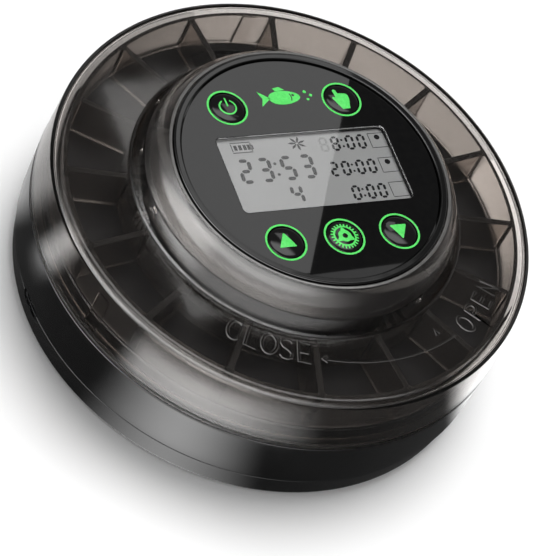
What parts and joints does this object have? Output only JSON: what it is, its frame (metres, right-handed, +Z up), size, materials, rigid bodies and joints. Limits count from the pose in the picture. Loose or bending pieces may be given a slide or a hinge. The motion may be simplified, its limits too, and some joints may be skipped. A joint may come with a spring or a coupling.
{
  "type": "automatic fish feeder",
  "caption": "Round timer fish feeder: a compartment tray turns under a smoky see-through cover, round a central control panel with display and push buttons, and drops food through its base.",
  "frame": {"origin": "centre of the circle the feeder stands on, at the level of the feet", "axes": "+Z up along the turning axis, +Y towards the top of the display, +X towards its right"},
  "size_m": [0.15, 0.15, 0.0613],
  "materials": {
    "black_gloss": "polished black moulded plastic",
    "black_matt": "fine spark-eroded moulded plastic",
    "smoke_clear": "polished smoky see-through plastic",
    "seal_silicone": "smooth smoky see-through silicone",
    "tray_plastic": "dark smoky see-through plastic",
    "panel_black": "gloss black panel, back-printed in green",
    "button_black": "domed gloss black caps with green symbols",
    "foot_rubber": "matt",
    "steel": "plain",
    "brass": "turned",
    "gear_acetal": "dark grey acetal",
    "diffuser_white": "milky diffuser",
    "board_green": "circuit board with green mask",
    "display_grey": "grey reflective liquid crystal display",
    "cell_wrap": "shrink sleeve",
    "lead_insulation": "soft vinyl insulation"
  },
  "bodies": {
    "root": {"bottom_cover": "black_gloss", "base_shell": "black_gloss", "bezel_ring": "black_gloss", "drop_chute": "black_matt", "hub_housing": "black_matt", "battery_cradle": "black_matt", "display_frame": "black_matt", "buzzer": "black_matt", "controller_chip": "black_matt", "hall_sensor": "black_matt", "glass_panel": "panel_black", "shaft_bush": "brass", "gear_motor": "steel", "motor_bracket": "steel", "motor_screw_1": "steel", "motor_screw_2": "steel", "battery_cell": "cell_wrap", "charging_port": "steel", "charging_board": "board_green", "control_board": "board_green", "charging_leads": "lead_insulation", "battery_leads": "lead_insulation", "motor_leads": "lead_insulation", "display_glass": "display_grey", "display_backlight": "diffuser_white", "rubber_foot_1": "foot_rubber", "bottom_screw_1": "steel", "hub_screw_1": "steel", "board_screw_1": "steel", "rubber_foot_2": "foot_rubber", "bottom_screw_2": "steel", "hub_screw_2": "steel", "board_screw_2": "steel", "rubber_foot_3": "foot_rubber", "bottom_screw_3": "steel", "hub_screw_3": "steel", "board_screw_3": "steel", "rubber_foot_4": "foot_rubber", "bottom_screw_4": "steel", "hub_screw_4": "steel", "board_screw_4": "steel", "power_switch": "steel", "feed_switch": "steel", "up_switch": "steel", "settings_switch": "steel", "down_switch": "steel"},
    "cover_seal": {"cover_seal": "seal_silicone"},
    "cover": {"cover": "smoke_clear"},
    "tray": {"food_tray": "tray_plastic", "tray_ring_gear": "gear_acetal", "index_magnet": "steel"},
    "pinion": {"drive_pinion": "gear_acetal", "motor_shaft": "steel"},
    "power_button": {"power_button": "button_black"},
    "feed_button": {"feed_button": "button_black"},
    "up_button": {"up_button": "button_black"},
    "settings_button": {"settings_button": "button_black"},
    "down_button": {"down_button": "button_black"}
  },
  "joints": [
    {"name": "cover_lift", "type": "slide", "parent": "root", "child": "cover_seal", "axis": [0, 0, 1], "range_m": [0, 0.045]},
    {"name": "cover_turn", "type": "hinge", "parent": "cover_seal", "child": "cover", "pos_m": [0, 0, 0.0283], "axis": [0, 0, 1], "range_deg": [0, 20]},
    {"name": "tray_turn", "type": "hinge", "parent": "root", "child": "tray", "pos_m": [0, 0, 0.0388], "axis": [0, 0, 1], "continuous": true},
    {"name": "pinion_turn", "type": "hinge", "parent": "root", "child": "pinion", "pos_m": [0, -0.04, 0.0355], "axis": [0, 0, 1], "continuous": true},
    {"name": "power_press", "type": "slide", "parent": "root", "child": "power_button", "axis": [0, 0, -1], "range_m": [0, 0.0008], "stiffness_N_per_m": 200},
    {"name": "feed_press", "type": "slide", "parent": "root", "child": "feed_button", "axis": [0, 0, -1], "range_m": [0, 0.0008], "stiffness_N_per_m": 200},
    {"name": "up_press", "type": "slide", "parent": "root", "child": "up_button", "axis": [0, 0, -1], "range_m": [0, 0.0008], "stiffness_N_per_m": 200},
    {"name": "settings_press", "type": "slide", "parent": "root", "child": "settings_button", "axis": [0, 0, -1], "range_m": [0, 0.0008], "stiffness_N_per_m": 200},
    {"name": "down_press", "type": "slide", "parent": "root", "child": "down_button", "axis": [0, 0, -1], "range_m": [0, 0.0008], "stiffness_N_per_m": 200}
  ],
  "couplings": [
    {"joint": "pinion_turn", "follows": "tray_turn", "ratio": 7.4}
  ]
}
